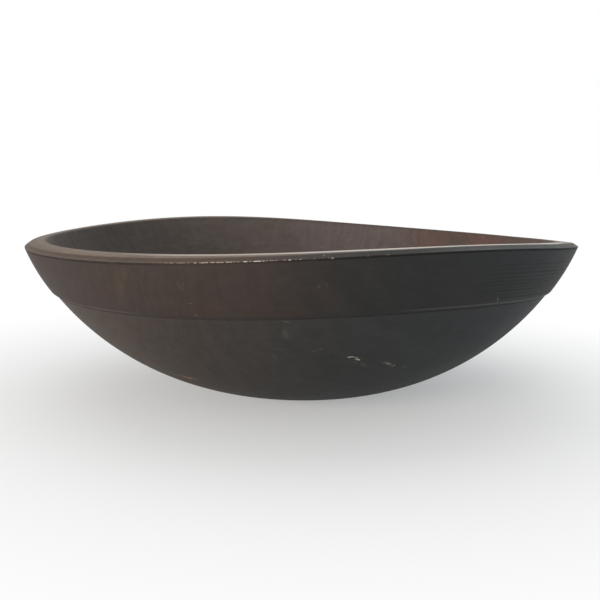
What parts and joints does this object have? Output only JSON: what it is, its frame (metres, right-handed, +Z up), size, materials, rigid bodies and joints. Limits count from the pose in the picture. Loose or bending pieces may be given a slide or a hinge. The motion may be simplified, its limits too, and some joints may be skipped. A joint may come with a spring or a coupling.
{
  "type": "turned wooden bowl",
  "caption": "Wide shallow bowl turned from a single block of dark hardwood, with a raised band under a bevelled rim that has dried slightly oval; holds dough, fruit or other loose food.",
  "frame": {"origin": "middle of the flat foot, on the lathe's axis, on the surface that the bowl stands on", "axes": "+Z up out of the mouth, along the lathe's axis; +X along the grain, which is the longer way across the oval rim; +Y across the grain"},
  "size_m": [0.413, 0.4048, 0.1248],
  "materials": {
    "dark_wood": "old dark satin patina, worn paler along the rim"
  },
  "bodies": {
    "root": {"bowl": "dark_wood"}
  },
  "joints": []
}
